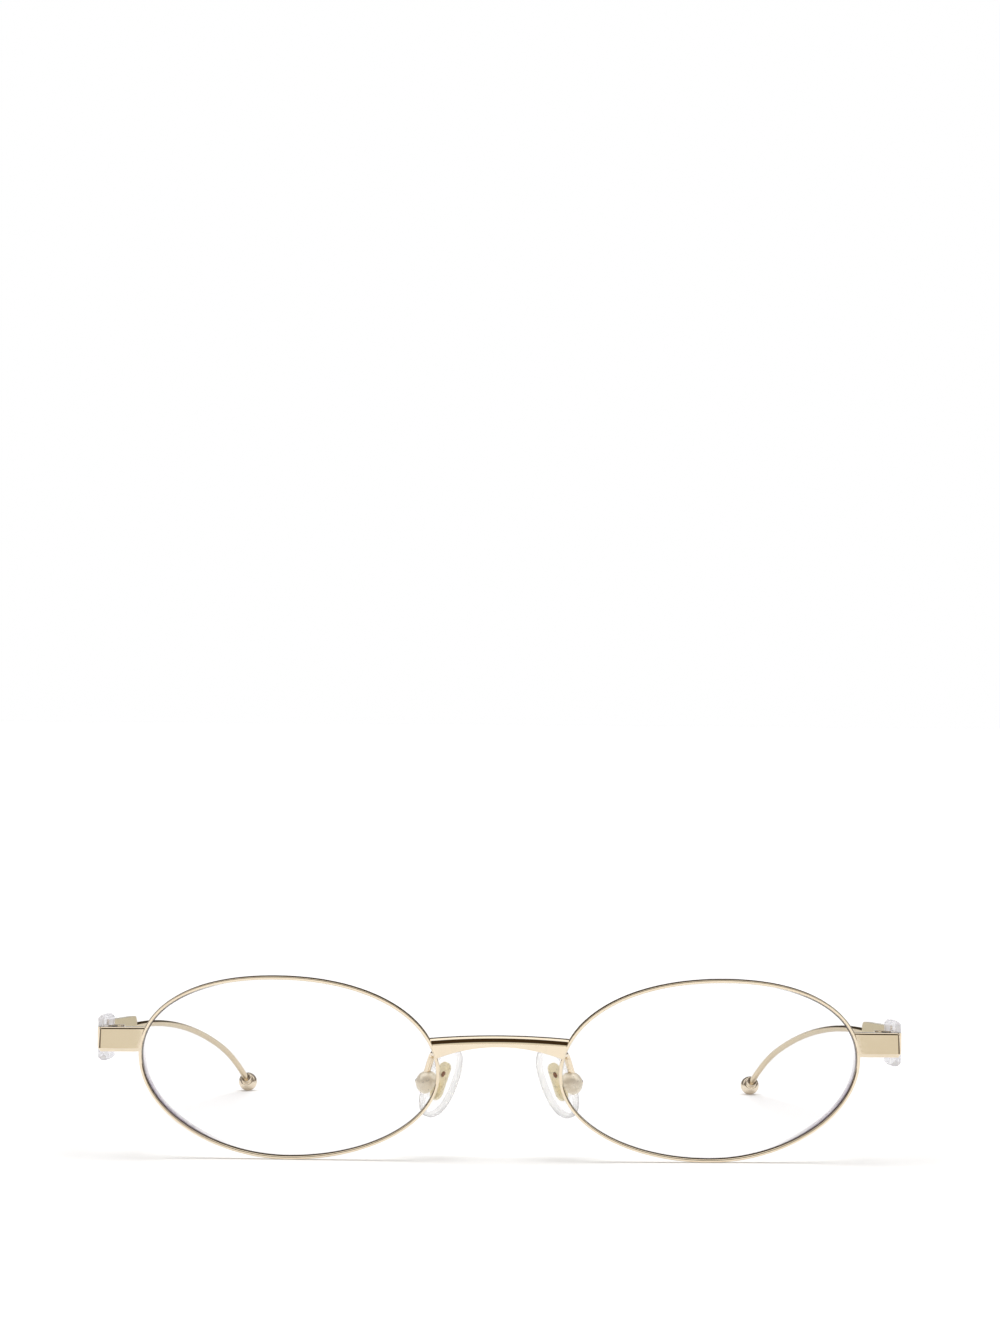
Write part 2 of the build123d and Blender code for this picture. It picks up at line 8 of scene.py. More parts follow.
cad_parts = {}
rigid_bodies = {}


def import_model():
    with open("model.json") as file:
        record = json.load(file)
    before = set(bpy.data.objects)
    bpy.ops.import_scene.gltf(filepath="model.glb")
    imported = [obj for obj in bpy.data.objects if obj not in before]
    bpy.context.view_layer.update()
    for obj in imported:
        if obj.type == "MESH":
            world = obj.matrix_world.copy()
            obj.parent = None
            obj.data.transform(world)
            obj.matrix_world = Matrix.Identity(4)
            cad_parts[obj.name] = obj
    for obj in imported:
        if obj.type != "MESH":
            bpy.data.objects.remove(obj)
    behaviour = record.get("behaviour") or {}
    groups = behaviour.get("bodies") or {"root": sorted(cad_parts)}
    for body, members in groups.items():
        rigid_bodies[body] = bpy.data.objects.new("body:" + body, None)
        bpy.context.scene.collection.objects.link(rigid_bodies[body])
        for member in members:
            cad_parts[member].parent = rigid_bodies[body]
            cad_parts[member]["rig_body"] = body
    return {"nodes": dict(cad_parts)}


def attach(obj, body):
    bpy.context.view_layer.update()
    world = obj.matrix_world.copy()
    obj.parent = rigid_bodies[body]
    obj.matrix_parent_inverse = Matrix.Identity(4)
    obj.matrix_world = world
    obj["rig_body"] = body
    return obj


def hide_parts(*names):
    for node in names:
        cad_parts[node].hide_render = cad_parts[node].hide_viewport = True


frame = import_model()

# Oval wire eyeglasses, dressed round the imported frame. Sizes in the dictionaries are
# millimetres, as in the part's own source, and become metres when a mesh is made. Only the
# studio's are metres.
mm = 0.001
middleShare = 0.0001  # the innermost ring of a crowned face, as a share of its edge
poleRadius = 0.00001  # the ring that closes a turned shape
weldDistance = 0.0005
noiseLow, noiseHigh = 0.3, 0.7  # most of a noise's values lie between these
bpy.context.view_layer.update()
nodes = frame["nodes"]
sides = (("left", 1), ("right", -1))

frontSizes = {
    "depth": 138.0,  # lens front to tip bead
    "lensSpacing": 72.3,
    "tilt": 5.0,
    "wrap": 3.0,
    "curveRadius": 160.0,
    "width": 51.75,
    "height": 31.65,
}
ovalShares = {
    "topShift": 0.077,
    "bottomShift": 0.007,
    "outerLift": 0.121,
    "noseDrop": 0.066,
    "topOuter": 0.662,
    "topNose": 0.639,
    "bottomOuter": 0.503,
    "bottomNose": 0.584,
    "outerTop": 0.547,
    "outerBottom": 0.561,
    "noseTop": 0.521,
    "noseBottom": 0.54,
}


# materials
def newMaterial(name):
    material = bpy.data.materials.new(name)
    material.use_nodes = True
    tree = material.node_tree
    shader = tree.nodes["Principled BSDF"]
    return material, tree, shader


def addNode(tree, kind, values=None, settings=None):
    node = tree.nodes.new(kind)
    for key, value in (settings or {}).items():
        setattr(node, key, value)
    for key, value in (values or {}).items():
        if hasattr(value, "is_output"):
            tree.links.new(value, node.inputs[key])
        else:
            node.inputs[key].default_value = value
    return node


def mathNode(tree, operation, first, second=0.0):
    node = addNode(tree, "ShaderNodeMath", {0: first, 1: second}, {"operation": operation})
    return node.outputs[0]


def mapped(tree, value, low, high, first=0.0, last=1.0, kind="SMOOTHSTEP"):
    # first at low, last at high, and smooth between them unless the kind says otherwise
    node = addNode(
        tree,
        "ShaderNodeMapRange",
        {"Value": value, "From Min": low, "From Max": high, "To Min": first, "To Max": last},
        {"interpolation_type": kind},
    )
    return node.outputs["Result"]


def mixed(tree, share, first, second):
    return addNode(tree, "ShaderNodeMixRGB", {0: share, 1: first, 2: second}).outputs[0]


def objectNoise(tree, scale, detail, stretch=(1, 1, 1)):
    place = addNode(tree, "ShaderNodeTexCoord").outputs["Object"]
    scaled = addNode(tree, "ShaderNodeMapping", {"Vector": place, "Scale": stretch}).outputs[0]
    noise = addNode(tree, "ShaderNodeTexNoise", {"Vector": scaled, "Scale": scale, "Detail": detail})
    return noise.outputs["Fac"]


def ramp(tree, factor, stops):
    node = addNode(tree, "ShaderNodeValToRGB", {"Fac": factor})
    elements = node.color_ramp.elements
    while len(elements) < len(stops):
        elements.new(0.5)
    for element, (place, colour) in zip(elements, stops):
        element.position = place
        element.color = (*colour, 1)
    return node.outputs["Color"]


def cloudyColour(tree, shader, scale, detail, deep, pale):
    # a base colour that drifts between two tones; returns the noise behind it
    cloud = objectNoise(tree, scale, detail)
    tree.links.new(ramp(tree, cloud, [(noiseLow, deep), (noiseHigh, pale)]), shader.inputs["Base Color"])
    return cloud


def metal(name, look):
    material, tree, shader = newMaterial(name)
    shader.inputs["Metallic"].default_value = look["metallic"]
    shader.inputs["Specular Tint"].default_value = (*look["edgeTint"], 1)
    cloudyColour(tree, shader, look["cloudScale"], look["cloudDetail"], look["deep"], look["pale"])
    grain = objectNoise(tree, look["grainScale"], look["grainDetail"], look["grainStretch"])
    rough = mapped(tree, grain, noiseLow, noiseHigh, look["smoothest"], look["roughest"], "LINEAR")
    tree.links.new(rough, shader.inputs["Roughness"])
    depth = look["bumpDepth"] * mm
    bump = addNode(tree, "ShaderNodeBump", {"Height": grain, "Strength": look["bump"], "Distance": depth})
    tree.links.new(bump.outputs["Normal"], shader.inputs["Normal"])
    return material


polish = {
    "metallic": 1.0,
    "edgeTint": (1.0, 1.0, 1.0),
    "deep": (0.83, 0.71, 0.54),
    "pale": (0.88, 0.77, 0.60),
    "cloudScale": 90.0,  # noise cells in a metre
    "cloudDetail": 3.0,
    "grainScale": 1800.0,
    "grainDetail": 4.0,
    "grainStretch": (1, 1, 1),
    "smoothest": 0.05,
    "roughest": 0.11,
    "bump": 0.1,
    "bumpDepth": 0.01,
}
gold = metal("paleGold", polish)
wireGold = metal("wireGold", dict(polish, edgeTint=(0.70, 0.67, 0.60)))
brushedGold = metal(
    "brushedGold",
    dict(
        polish,
        edgeTint=(0.55, 0.54, 0.46),
        grainScale=900.0,
        grainStretch=(1.0, 0.25, 1.0),
        smoothest=0.1,
        roughest=0.18,
        bump=0.25,
    ),
)
satinGold = metal(
    "satinGold", dict(polish, metallic=0.8, pale=(0.92, 0.82, 0.67), smoothest=0.16, roughest=0.26, bump=0.15)
)
cupGold = metal(
    "cupGold",
    dict(
        polish, metallic=0.2, deep=(0.98, 0.87, 0.69), pale=(1.00, 0.93, 0.78), smoothest=0.26, roughest=0.36
    ),
)
padGold = metal(
    "padGold",
    dict(
        polish, metallic=0.15, deep=(0.98, 0.84, 0.53), pale=(1.00, 0.92, 0.68), smoothest=0.24, roughest=0.36
    ),
)
# painted shade: this dark brown stands for the shade in the pad insert's hole
holeShadeBrown = metal(
    "holeShadeBrown", dict(polish, metallic=0.4, deep=(0.16, 0.06, 0.03), pale=(0.30, 0.14, 0.07), smoothest=0.3)
)
screwGold = metal(
    "screwGold", dict(polish, deep=(0.66, 0.52, 0.33), pale=(0.76, 0.63, 0.43), grainScale=2600.0)
)


# painted light on the lens: a dark shade line just inside the rim, strongest on the temple side, and a violet
# reflection of the coating, low on the temple side
lensPaintedLight = {
    "shadeLineStart": 0.70,  # millimetres in from the rim's outer edge
    "shadeLineEnd": 0.80,
    "shadeLineShare": 0.75,
    "plainShadeLineShare": 0.12,  # how much of the painted shade line is left away from the temple side
    "shadeLineColour": (0.05, 0.035, 0.03),
    "reflectionStart": 1.0,
    "reflectionEnd": 1.3,
    "reflectionShare": 0.45,
    "reflectionColour": (0.62, 0.54, 0.74),
    "clearShare": 0.012,
    "innerX": 44.0,
    "outerX": 56.0,
    "lowZ": 12.0,
    "highZ": 21.0,
    "cloudScale": 260.0,
    "evenness": 0.8,  # the weakest that the painted shade line and painted reflection get where they are uneven
    "roughness": 0.05,
    "ior": 1.35,
}


def clearLens():
    # clear, with a painted shade line just inside the rim where its groove would shade the lens, and a
    # painted violet reflection of the coating low on the temple side
    material, tree, shader = newMaterial("clearLens")
    inset = addNode(tree, "ShaderNodeAttribute", settings={"attribute_name": "inset"}).outputs["Fac"]
    place = addNode(tree, "ShaderNodeSeparateXYZ", {0: addNode(tree, "ShaderNodeTexCoord").outputs["Object"]})
    outwards = mathNode(tree, "ABSOLUTE", place.outputs["X"])
    g = lensPaintedLight
    # painted shade line and painted reflection, both carried in the colour and the alpha
    paintedShadeLine = mapped(tree, inset, g["shadeLineStart"], g["shadeLineEnd"], 1.0, 0.0)
    paintedReflectionBand = mapped(tree, inset, g["reflectionStart"], g["reflectionEnd"], 1.0, 0.0)
    aside = mapped(tree, outwards, g["innerX"] * mm, g["outerX"] * mm)
    low = mapped(tree, place.outputs["Z"], g["lowZ"] * mm, g["highZ"] * mm, 1.0, 0.0)
    uneven = mapped(tree, objectNoise(tree, g["cloudScale"], 2.0), noiseLow, noiseHigh, g["evenness"], 1.0)
    paintedReflection = mathNode(tree, "MULTIPLY", mathNode(tree, "MULTIPLY", aside, low), uneven)
    paintedReflection = mathNode(tree, "MULTIPLY", mathNode(tree, "MULTIPLY", paintedReflection, paintedReflectionBand), g["reflectionShare"])
    strength = mapped(tree, aside, 0.0, 1.0, g["plainShadeLineShare"] * g["shadeLineShare"], g["shadeLineShare"])
    dark = mathNode(tree, "MULTIPLY", mathNode(tree, "MULTIPLY", paintedShadeLine, uneven), strength)
    paintedLightColour = mixed(tree, paintedShadeLine, (*g["reflectionColour"], 1), (*g["shadeLineColour"], 1))
    tree.links.new(paintedLightColour, shader.inputs["Base Color"])
    clear = mathNode(tree, "ADD", mathNode(tree, "MAXIMUM", dark, paintedReflection), g["clearShare"])
    tree.links.new(clear, shader.inputs["Alpha"])
    shader.inputs["Roughness"].default_value = g["roughness"]
    shader.inputs["IOR"].default_value = g["ior"]
    return material


# a clear surface's veil grows between these as the surface turns away from the eye
veilRange = {"start": 0.3, "end": 0.95, "blend": 0.5}


def clearSolid(name, look):
    material, tree, shader = newMaterial(name)
    cloud = cloudyColour(tree, shader, look["cloudScale"], 2.0, look["deep"], look["pale"])
    rough = mapped(tree, cloud, 0.0, 1.0, look["smoothest"], look["roughest"], "LINEAR")
    tree.links.new(rough, shader.inputs["Roughness"])
    shader.inputs["IOR"].default_value = look["ior"]
    shader.inputs["Transmission Weight"].default_value = look["clear"]
    edge = addNode(tree, "ShaderNodeLayerWeight", {"Blend": veilRange["blend"]}).outputs["Facing"]
    veil = mapped(tree, edge, veilRange["start"], veilRange["end"], look["middleVeil"], look["edgeVeil"])
    wall = addNode(tree, "ShaderNodeAttribute", settings={"attribute_name": "wall"}).outputs["Fac"]
    walled = mapped(tree, wall, 0.0, 1.0, 0.0, look["wallVeil"])
    tree.links.new(mathNode(tree, "MAXIMUM", veil, walled), shader.inputs["Alpha"])
    return material


crystalClear = clearSolid(
    "crystalClear",
    {
        "deep": (0.82, 0.82, 0.90),
        "pale": (0.93, 0.93, 0.98),
        "cloudScale": 160.0,
        "smoothest": 0.12,
        "roughest": 0.3,
        "ior": 1.18,
        "clear": 0.35,
        "middleVeil": 0.38,
        "edgeVeil": 0.65,
        "wallVeil": 0.0,
    },
)
siliconeClear = clearSolid(
    "siliconeClear",
    {
        "deep": (0.82, 0.82, 0.83),
        "pale": (0.93, 0.93, 0.93),
        "cloudScale": 300.0,
        "smoothest": 0.1,
        "roughest": 0.24,
        "ior": 1.2,
        "clear": 0.5,
        "middleVeil": 0.07,
        "edgeVeil": 0.8,
        "wallVeil": 0.7,  # on the pad's side wall, which its attribute marks
    },
)
print("materials made")


# pieces, meshes and paths
def keep(piece, body, slotName, material, *replaced):
    # gives a piece its material, hangs it on the body that carries it and hides the nodes it stands for
    piece.data.materials.clear()
    piece.data.materials.append(material)
    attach(piece, body)
    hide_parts(*replaced)
    return piece


def newPiece(name, mesh):
    mesh.name = name
    piece = bpy.data.objects.new(name, mesh)
    bpy.context.scene.collection.objects.link(piece)
    return piece


def evenNormals(piece):
    piece.modifiers.new("evenNormals", "WEIGHTED_NORMAL").keep_sharp = True


def freed(bm, mesh):
    bm.to_mesh(mesh)
    bm.free()
    return mesh


def smoothMesh(bm, name):
    for face in bm.faces:
        face.smooth = True
    return freed(bm, bpy.data.meshes.new(name))


def mirrored(mesh, sign):
    # the twin of a left piece's mesh, with its faces turned outwards again
    twin = mesh.copy()
    if sign < 0:
        twin.transform(Matrix.Diagonal((-1, 1, 1, 1)))
        bm = bmesh.new()
        bm.from_mesh(twin)
        bmesh.ops.recalc_face_normals(bm, faces=bm.faces)
        freed(bm, twin)
    return twin


def loftMesh(name, rings, caps=True, kept=None):
    # rings of points in millimetres, joined one after another; kept names an attribute and
    # gives its value on each ring
    bm = bmesh.new()
    layer = bm.verts.layers.float.new(kept[0]) if kept else None
    rows = [[bm.verts.new(Vector(point) * mm) for point in ring] for ring in rings]
    if kept:
        for row, value in zip(rows, kept[1]):
            for vertex in row:
                vertex[layer] = value
    steps = len(rows[0])
    for here, after in zip(rows, rows[1:]):
        for index in range(steps):
            beside = (index + 1) % steps
            bm.faces.new((here[index], here[beside], after[beside], after[index]))
    if caps:
        bm.faces.new(rows[0])
        bm.faces.new(rows[-1])
    bmesh.ops.remove_doubles(bm, verts=bm.verts, dist=weldDistance * mm)
    bmesh.ops.recalc_face_normals(bm, faces=bm.faces)
    return smoothMesh(bm, name)


def latheMesh(name, outline, centre, axis, steps):
    # outline of (radius, height) pairs along an axis; a radius of 0 closes a pole
    axis = axis.normalized()
    across = axis.orthogonal().normalized()
    beside = axis.cross(across)
    turns = [2 * pi * step / steps for step in range(steps)]
    spokes = [across * cos(turn) + beside * sin(turn) for turn in turns]
    rings = []
    for radius, height in outline:
        rings.append([centre + axis * height + spoke * max(radius, poleRadius) for spoke in spokes])
    return loftMesh(name, rings, caps=False)


def cutAway(bm, place, away):
    # removes what lies beyond a plane, given in millimetres, and closes the cut
    whole = bm.verts[:] + bm.edges[:] + bm.faces[:]
    cut = bmesh.ops.bisect_plane(bm, geom=whole, plane_co=Vector(place) * mm, plane_no=away, clear_outer=True)
    rims = [item for item in cut["geom_cut"] if isinstance(item, bmesh.types.BMEdge)]
    bmesh.ops.holes_fill(bm, edges=rims)


easedEdges = {
    "flat": 0.6,  # degrees; faces that meet at less become one
    "sharp": 32.0,  # and edges that turn by more are eased
    "segments": 3,
    "knuckle": 0.06,
    "closingBlock": 0.08,
    "screw": 0.04,
    "hingeLeaf": 0.06,
    "bar": 0.16,
    "crystal": 0.035,
    "cup": 0.06,
    "insert": 0.08,
}


def softCopy(nodeName, pieceName, slotName, material, easing, cuts=()):
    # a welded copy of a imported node, or of a part of it, with its hard edges eased
    bm = bmesh.new()
    bm.from_mesh(nodes[nodeName].data)
    bmesh.ops.remove_doubles(bm, verts=bm.verts, dist=weldDistance * mm)
    for place, away in cuts:
        cutAway(bm, place, away)
    bmesh.ops.dissolve_limit(bm, angle_limit=radians(easedEdges["flat"]), verts=bm.verts, edges=bm.edges)
    sharp = radians(easedEdges["sharp"])
    bmesh.ops.bevel(
        bm,
        geom=[edge for edge in bm.edges if edge.is_manifold and edge.calc_face_angle(0) > sharp],
        offset=easedEdges[easing] * mm,
        segments=easedEdges["segments"],
        profile=0.5,
        affect="EDGES",
        clamp_overlap=True,
    )
    mesh = smoothMesh(bm, pieceName)
    mesh.set_sharp_from_angle(angle=sharp)
    piece = newPiece(pieceName, mesh)
    evenNormals(piece)
    keep(piece, nodes[nodeName]["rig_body"], slotName, material, nodeName)


# the front: rims and lenses on one shared curve
halfWidth = frontSizes["width"] / 2
halfHeight = frontSizes["height"] / 2
curveRadius = frontSizes["curveRadius"]
tilt = radians(frontSizes["tilt"])
wrap = radians(frontSizes["wrap"])
facingShare = cos(tilt) * cos(wrap)
frontY = -frontSizes["depth"] / 2
edgeSag = curveRadius - sqrt(curveRadius ** 2 - halfHeight ** 2)
halfNose = frontSizes["lensSpacing"] / 2 - halfWidth

lensAcross = Vector((cos(wrap), sin(wrap), 0))
lensOutward = Vector((sin(wrap) * cos(tilt), -facingShare, -sin(tilt)))
lensUp = lensOutward.cross(lensAcross)
lensOrigin = Vector(
    (
        frontSizes["lensSpacing"] / 2,
        frontY + curveRadius * (1 - facingShare),
        halfHeight * cos(tilt) - edgeSag * sin(tilt),
    )
)


def fromLens(x, y, z):
    # a place given on the lens, in the row frame
    return lensOrigin + lensAcross * x + lensUp * y + lensOutward * z


def onCurve(x, y, setback):
    # a place on the shared front curve, set back towards the eye
    return fromLens(x, y, sqrt((curveRadius - setback) ** 2 - x * x - y * y) - curveRadius)


def ovalRuns(inset):
    # the oval's four quarters as Bezier control points, drawn in from its outer edge
    s = ovalShares
    wide, tall = halfWidth - inset, halfHeight - inset
    top = Vector((s["topShift"] * wide, tall))
    bottom = Vector((s["bottomShift"] * wide, -tall))
    outer = Vector((wide, s["outerLift"] * tall))
    nose = Vector((-wide, -s["noseDrop"] * tall))
    return [
        [
            outer,
            outer + Vector((0, s["outerTop"] * (top.y - outer.y))),
            top + Vector((s["topOuter"] * (outer.x - top.x), 0)),
            top,
        ],
        [
            top,
            top - Vector((s["topNose"] * (top.x - nose.x), 0)),
            nose + Vector((0, s["noseTop"] * (top.y - nose.y))),
            nose,
        ],
        [
            nose,
            nose - Vector((0, s["noseBottom"] * (nose.y - bottom.y))),
            bottom - Vector((s["bottomNose"] * (bottom.x - nose.x), 0)),
            bottom,
        ],
        [
            bottom,
            bottom + Vector((s["bottomOuter"] * (outer.x - bottom.x), 0)),
            outer - Vector((0, s["outerBottom"] * (outer.y - bottom.y))),
            outer,
        ],
    ]


def quarterTurns(steps):
    return [pi / 2 * step / steps for step in range(steps + 1)]


def divideRun(run, share):
    # one Bezier run cut in two
    a = [run[i].lerp(run[i + 1], share) for i in range(3)]
    b = [a[i].lerp(a[i + 1], share) for i in range(2)]
    middle = b[0].lerp(b[1], share)
    return [run[0], a[0], b[0], middle], [middle, b[1], a[2], run[3]]


def alongRun(run, share):
    return divideRun(run, share)[0][3]


def ovalLoop(inset, stepsPerRun):
    return [alongRun(run, step / stepsPerRun) for run in ovalRuns(inset) for step in range(stepsPerRun)]


rimSizes = {
    "thickness": 0.64,
    "depth": 1.7,
    "outerRoundness": 4.2,  # 2 is an ellipse, more is squarer
    "innerRoundness": 2.6,
    "splitHeight": 19.7,
    "splitGap": 0.08,
    "pathSteps": 360,
    "pathResolution": 48,
    "profileSteps": 36,
    "searchSteps": 40,  # halvings that find where it splits
    "edgeSteps": 120,  # places looked at on a quarter of its edge
}


def sweepTree(name, curved):
    # a path swept with a rounded profile; the rim's path is first bent to the front curve
    tree = bpy.data.node_groups.new(name, "GeometryNodeTree")
    face = tree.interface
    face.new_socket("Path", in_out="INPUT", socket_type="NodeSocketObject")
    for label in ("Width", "Depth", "Outer Roundness", "Inner Roundness", "Front Radius", "Set Back", "Gap"):
        face.new_socket(label, in_out="INPUT", socket_type="NodeSocketFloat")
    for label in ("Path Steps", "Profile Steps"):
        face.new_socket(label, in_out="INPUT", socket_type="NodeSocketInt")
    face.new_socket("Geometry", in_out="OUTPUT", socket_type="NodeSocketGeometry")
    given = addNode(tree, "NodeGroupInput").outputs
    source = addNode(tree, "GeometryNodeObjectInfo", {"Object": given["Path"]})
    path = addNode(
        tree, "GeometryNodeResampleCurve", {"Curve": source.outputs["Geometry"], "Count": given["Path Steps"]}
    ).outputs["Curve"]
    place = addNode(tree, "ShaderNodeSeparateXYZ", {0: addNode(tree, "GeometryNodeInputPosition").outputs[0]})
    if curved:
        reach = mathNode(tree, "SUBTRACT", given["Front Radius"], given["Set Back"])
        square = mathNode(tree, "MULTIPLY", reach, reach)
        across = mathNode(tree, "MULTIPLY", place.outputs["X"], place.outputs["X"])
        tall = mathNode(tree, "MULTIPLY", place.outputs["Y"], place.outputs["Y"])
        left = mathNode(tree, "SUBTRACT", mathNode(tree, "SUBTRACT", square, across), tall)
        sag = mathNode(tree, "SUBTRACT", mathNode(tree, "SQRT", left), given["Front Radius"])
        bent = addNode(
            tree, "ShaderNodeCombineXYZ", {"X": place.outputs["X"], "Y": place.outputs["Y"], "Z": sag}
        ).outputs[0]
        path = addNode(tree, "GeometryNodeSetPosition", {"Geometry": path, "Position": bent}).outputs[0]
        path = addNode(tree, "GeometryNodeSetCurveNormal", {"Curve": path}, {"mode": "Z_UP"}).outputs[0]
    length = addNode(tree, "GeometryNodeCurveLength", {"Curve": path}).outputs["Length"]
    cut = addNode(tree, "GeometryNodeTrimCurve", {"Curve": path}, {"mode": "LENGTH"})
    halfGap = mathNode(tree, "MULTIPLY", given["Gap"], 0.5)
    ends = {"Start": halfGap, "End": mathNode(tree, "SUBTRACT", length, halfGap)}
    for socket in cut.inputs:
        if socket.type == "VALUE" and socket.enabled and socket.name in ends:
            tree.links.new(ends[socket.name], socket)
    # the profile: a circle pushed out towards a rounded rectangle
    ring = addNode(
        tree, "GeometryNodeCurvePrimitiveCircle", {"Resolution": given["Profile Steps"], "Radius": 1.0}
    )
    inner = mathNode(tree, "LESS_THAN", place.outputs["X"], 0.0)
    softer = mathNode(tree, "SUBTRACT", given["Inner Roundness"], given["Outer Roundness"])
    roundness = mathNode(tree, "ADD", given["Outer Roundness"], mathNode(tree, "MULTIPLY", inner, softer))
    power = mathNode(tree, "DIVIDE", 2.0, roundness)
    pushed = {}
    for axis, size in (("X", "Width"), ("Y", "Depth")):
        far = mathNode(tree, "POWER", mathNode(tree, "ABSOLUTE", place.outputs[axis]), power)
        signed = mathNode(tree, "MULTIPLY", far, mathNode(tree, "SIGN", place.outputs[axis]))
        half = mathNode(tree, "MULTIPLY", given[size], 0.5)
        pushed[axis] = mathNode(tree, "MULTIPLY", signed, half)
    shape = addNode(tree, "ShaderNodeCombineXYZ", pushed)
    profile = addNode(
        tree, "GeometryNodeSetPosition", {"Geometry": ring.outputs["Curve"], "Position": shape.outputs[0]}
    )
    tube = addNode(
        tree,
        "GeometryNodeCurveToMesh",
        {"Curve": cut.outputs[0], "Profile Curve": profile.outputs[0], "Fill Caps": True},
    )
    smooth = addNode(tree, "GeometryNodeSetShadeSmooth", {"Geometry": tube.outputs[0]})
    whole = addNode(tree, "GeometryNodeRealizeInstances", {"Geometry": smooth.outputs[0]})
    addNode(tree, "NodeGroupOutput", {"Geometry": whole.outputs[0]})
    return tree


def sweptMesh(name, tree, pathObject, values):
    # runs a sweep on a path and brings the result back as a plain mesh
    holder = newPiece(name + "Holder", bpy.data.meshes.new(name))
    modifier = holder.modifiers.new("sweep", "NODES")
    modifier.node_group = tree
    for item in tree.interface.items_tree:
        if item.in_out == "INPUT" and item.name in values:
            modifier[item.identifier] = values[item.name]
        if item.in_out == "INPUT" and item.name == "Path":
            modifier[item.identifier] = pathObject
    holder.update_tag()
    bpy.context.view_layer.update()
    evaluated = holder.evaluated_get(bpy.context.evaluated_depsgraph_get())
    mesh = bpy.data.meshes.new_from_object(evaluated)
    bpy.data.objects.remove(holder)
    bpy.data.objects.remove(pathObject)
    bm = bmesh.new()
    bm.from_mesh(mesh)
    bmesh.ops.recalc_face_normals(bm, faces=bm.faces)
    for face in bm.faces:
        face.smooth = len(face.verts) == 4  # all but the flat ends
    return freed(bm, mesh)


def newPath(name, curve):
    path = bpy.data.objects.new(name, curve)
    bpy.context.scene.collection.objects.link(path)
    return path


def newCurve(name):
    curve = bpy.data.curves.new(name, "CURVE")
    curve.dimensions = "3D"
    return curve


def bezierPath(name, runs):
    # a path object through Bezier runs given in millimetres on the lens
    curve = newCurve(name)
    curve.resolution_u = rimSizes["pathResolution"]
    spline = curve.splines.new("BEZIER")
    spline.bezier_points.add(len(runs))
    ends = [run[0] for run in runs] + [runs[-1][3]]
    for index, (point, end) in enumerate(zip(spline.bezier_points, ends)):
        point.handle_left_type = point.handle_right_type = "FREE"
        point.co = (*(end * mm), 0)
        before = runs[index - 1][2] if index else end
        after = runs[index][1] if index < len(runs) else end
        point.handle_left = (*(before * mm), 0)
        point.handle_right = (*(after * mm), 0)
    return newPath(name, curve)


def polyPath(name, points):
    # a path object through points given in millimetres in the row frame
    curve = newCurve(name)
    spline = curve.splines.new("POLY")
    spline.points.add(len(points) - 1)
    for point, place in zip(spline.points, points):
        point.co = (*(Vector(place) * mm), 1)
    return newPath(name, curve)


def splitRuns():
    # the rim's middle line, opened where the closing blocks clamp it
    runs = ovalRuns(rimSizes["thickness"] / 2)
    low, high = 0.0, 1.0
    for _ in range(rimSizes["searchSteps"]):
        share = (low + high) / 2
        place = alongRun(runs[0], share)
        if onCurve(place.x, place.y, rimSizes["depth"] / 2).z < rimSizes["splitHeight"]:
            low = share
        else:
            high = share
    first, second = divideRun(runs[0], share)
    return [second] + runs[1:] + [first]


lensMatrix = Matrix(
    (
        (lensAcross.x, lensUp.x, lensOutward.x, lensOrigin.x * mm),
        (lensAcross.y, lensUp.y, lensOutward.y, lensOrigin.y * mm),
        (lensAcross.z, lensUp.z, lensOutward.z, lensOrigin.z * mm),
        (0, 0, 0, 1),
    )
)
wireTree = sweepTree("wireSweep", False)


def roundWire(name, points, thickness, pathSteps, profileSteps):
    return sweptMesh(
        name,
        wireTree,
        polyPath(name + "Path", points),
        {
            "Width": thickness * mm,
            "Depth": thickness * mm,
            "Outer Roundness": 2.0,
            "Inner Roundness": 2.0,
            "Gap": 0.0,
            "Path Steps": pathSteps,
            "Profile Steps": profileSteps,
        },
    )


rimMesh = sweptMesh(
    "rim",
    sweepTree("rimSweep", True),
    bezierPath("rimPath", splitRuns()),
    {
        "Width": rimSizes["thickness"] * mm,
        "Depth": rimSizes["depth"] * mm,
        "Outer Roundness": rimSizes["outerRoundness"],
        "Inner Roundness": rimSizes["innerRoundness"],
        "Front Radius": curveRadius * mm,
        "Set Back": rimSizes["depth"] / 2 * mm,
        "Gap": rimSizes["splitGap"] * mm,
        "Path Steps": rimSizes["pathSteps"],
        "Profile Steps": rimSizes["profileSteps"],
    },
)
rimMesh.transform(lensMatrix)
for side, sign in sides:
    rim = newPiece("rimWire_" + side, mirrored(rimMesh, sign))
    keep(rim, "front", "gold", gold, "rim_" + side)
print("rims swept")

lensSizes = {
    "insets": [0.45, 0.6, 0.67, 0.74, 0.82, 0.92, 1.08, 1.3, 1.6],  # rings in from the rim's outer edge
    "frontSetback": 0.32,
    "backSetback": 1.4,
    "rings": 14,
    "stepsPerRun": 44,
    "sharp": 40.0,  # degrees; here and below, edges that turn by more stay crisp
}


def lensMesh():
    insets = lensSizes["insets"]
    loops = [ovalLoop(inset, lensSizes["stepsPerRun"]) for inset in insets]
    rows = lensSizes["rings"]
    inner = insets[-1]
    plan = []
    for row in range(rows):
        share = max(sin(pi / 2 * row / rows), middleShare)
        plan.append(([p * share for p in loops[-1]], inner + halfHeight * (1 - share)))
    plan += [(loop, inset) for loop, inset in zip(reversed(loops), reversed(insets))]
    rings = [[onCurve(p.x, p.y, lensSizes["frontSetback"]) for p in loop] for loop, _ in plan]
    rings += [[onCurve(p.x, p.y, lensSizes["backSetback"]) for p in loop] for loop, _ in reversed(plan)]
    kept = [inset for _, inset in plan] + [inset for _, inset in reversed(plan)]
    return loftMesh("lens", rings, kept=("inset", kept))


plainLens = lensMesh()
plainLens.set_sharp_from_angle(angle=radians(lensSizes["sharp"]))
lensClear = clearLens()
for side, sign in sides:
    lens = newPiece("demoLens_" + side, mirrored(plainLens, sign))
    keep(lens, "front", "clear_lens", lensClear, "lens_" + side)
print("lenses made")

